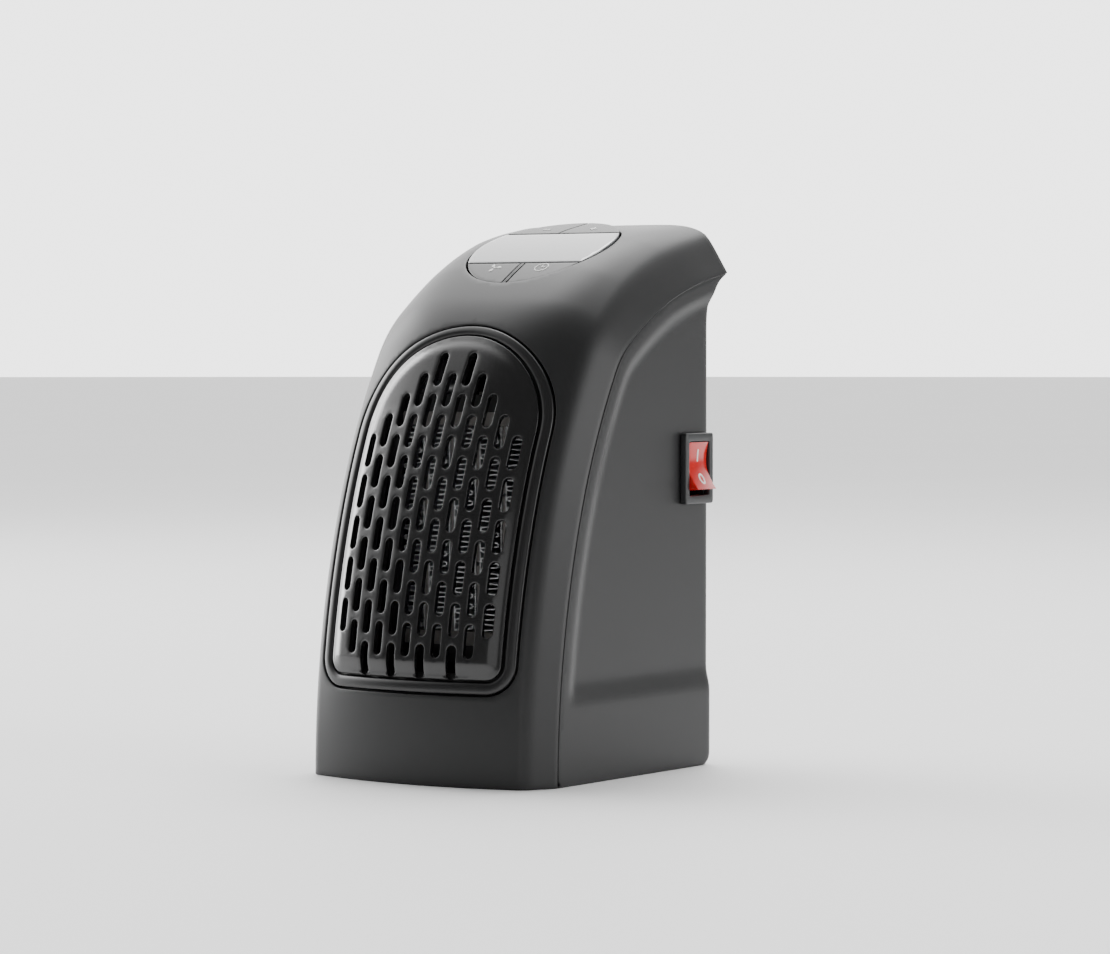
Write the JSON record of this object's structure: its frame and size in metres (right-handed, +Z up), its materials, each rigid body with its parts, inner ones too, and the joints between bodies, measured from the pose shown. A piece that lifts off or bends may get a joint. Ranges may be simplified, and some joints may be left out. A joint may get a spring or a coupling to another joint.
{
  "type": "ceramic space heater",
  "caption": "Compact upright ceramic fan heater with an arched slotted grille, a round control panel in its hood, a side rocker switch and a turning wall plug on its back.",
  "frame": {"origin": "middle of the flat base, on the plane of symmetry of the body", "axes": "+Z up, the grille faces -Y, the rocker switch is on the +X side, the plug points along +Y"},
  "size_m": [0.0888, 0.1336, 0.1623],
  "materials": {
    "charcoal_plastic": "fine satin texture",
    "ring_plastic": "satin",
    "gloss_black_plastic": "polished",
    "inner_black_plastic": "moulded",
    "display_window": "polished smoked cover",
    "button_plastic": "satin",
    "green_board": "solder mask",
    "brown_board": "paper laminate",
    "screw_steel": "zinc plated",
    "heater_ceramic": "matt",
    "fin_aluminium": "bright sheet",
    "copper_winding": "enamelled wire",
    "contact_brass": "bright",
    "magnet_iron": "sintered",
    "capacitor_yellow": "moulded",
    "capacitor_sleeve": "shrink sleeve",
    "relay_blue": "moulded",
    "terminal_green": "moulded",
    "switch_black": "moulded",
    "rocker_red": "moulded",
    "white_nylon": "moulded",
    "pin_metal": "nickel plated",
    "plug_black": "fine spark texture",
    "wire_red": "insulation",
    "wire_black": "insulation",
    "foot_rubber": "matt"
  },
  "bodies": {
    "body": {"front_cover": "charcoal_plastic", "rear_housing": "charcoal_plastic", "grille_ring": "ring_plastic", "front_grille": "gloss_black_plastic", "panel_tray": "inner_black_plastic", "display_window": "display_window", "tact_switches": "inner_black_plastic", "led_display": "inner_black_plastic", "control_board": "green_board", "panel_screws": "screw_steel", "core_frame": "inner_black_plastic", "ceramic_stones": "heater_ceramic", "heater_fins": "fin_aluminium", "electrode_plates": "fin_aluminium", "core_insulators": "heater_ceramic", "thermal_cutout": "heater_ceramic", "thermal_fuse": "screw_steel", "air_sensor": "inner_black_plastic", "fan_frame": "inner_black_plastic", "fan_stator": "copper_winding", "fan_bearing": "contact_brass", "fan_screws": "screw_steel", "main_board": "brown_board", "film_capacitor": "capacitor_yellow", "supply_capacitors": "capacitor_sleeve", "heater_relay": "relay_blue", "choke_coil": "copper_winding", "terminal_block": "terminal_green", "board_screws": "screw_steel", "switch_body": "switch_black", "switch_terminals": "pin_metal", "dust_filter": "inner_black_plastic", "plug_retainer": "screw_steel", "retainer_screws": "screw_steel", "contact_springs": "contact_brass", "detent_spring": "screw_steel", "heater_wires": "wire_red", "switch_wires": "wire_black", "fan_wires": "wire_red", "housing_screws": "screw_steel", "rubber_feet": "foot_rubber"},
    "speed_key": {"speed_button": "button_plastic", "speed_plunger": "inner_black_plastic"},
    "timer_key": {"timer_button": "button_plastic", "timer_plunger": "inner_black_plastic"},
    "warmer_key": {"warmer_button": "button_plastic", "warmer_plunger": "inner_black_plastic"},
    "cooler_key": {"cooler_button": "button_plastic", "cooler_plunger": "inner_black_plastic"},
    "rocker_body": {"rocker": "rocker_red", "rocker_plunger": "white_nylon"},
    "lever_body": {"contact_lever": "contact_brass"},
    "fan_wheel": {"fan_rotor": "inner_black_plastic", "fan_shaft": "screw_steel", "fan_magnet": "magnet_iron"},
    "plug_head": {"plug_turntable": "plug_black", "plug_pins": "pin_metal", "slip_rings": "contact_brass"}
  },
  "joints": [
    {"name": "speed_press", "type": "slide", "parent": "body", "child": "speed_key", "axis": [0, 0.4053, -0.9142], "range_m": [0, 0.0006], "stiffness_N_per_m": 600, "springref_m": -0.0006},
    {"name": "timer_press", "type": "slide", "parent": "body", "child": "timer_key", "axis": [0, 0.4053, -0.9142], "range_m": [0, 0.0006], "stiffness_N_per_m": 600, "springref_m": -0.0006},
    {"name": "warmer_press", "type": "slide", "parent": "body", "child": "warmer_key", "axis": [0, 0.4053, -0.9142], "range_m": [0, 0.0006], "stiffness_N_per_m": 600, "springref_m": -0.0006},
    {"name": "cooler_press", "type": "slide", "parent": "body", "child": "cooler_key", "axis": [0, 0.4053, -0.9142], "range_m": [0, 0.0006], "stiffness_N_per_m": 600, "springref_m": -0.0006},
    {"name": "rocker_tip", "type": "hinge", "parent": "body", "child": "rocker_body", "pos_m": [0.041, 0.0377, 0.0888], "axis": [0, 1, 0], "range_deg": [0, 24]},
    {"name": "lever_tip", "type": "hinge", "parent": "body", "child": "lever_body", "pos_m": [0.0303, 0.0377, 0.0888], "axis": [0, 1, 0], "range_deg": [-18, 0]},
    {"name": "fan_spin", "type": "hinge", "parent": "body", "child": "fan_wheel", "pos_m": [0, -0.00562, 0.072], "axis": [0, 1, 0], "continuous": true},
    {"name": "plug_turn", "type": "hinge", "parent": "body", "child": "plug_head", "pos_m": [0, 0.047, 0.05], "axis": [0, 1, 0], "range_deg": [-90, 90]}
  ],
  "couplings": [
    {"joint": "lever_tip", "follows": "rocker_tip", "ratio": -0.75}
  ]
}
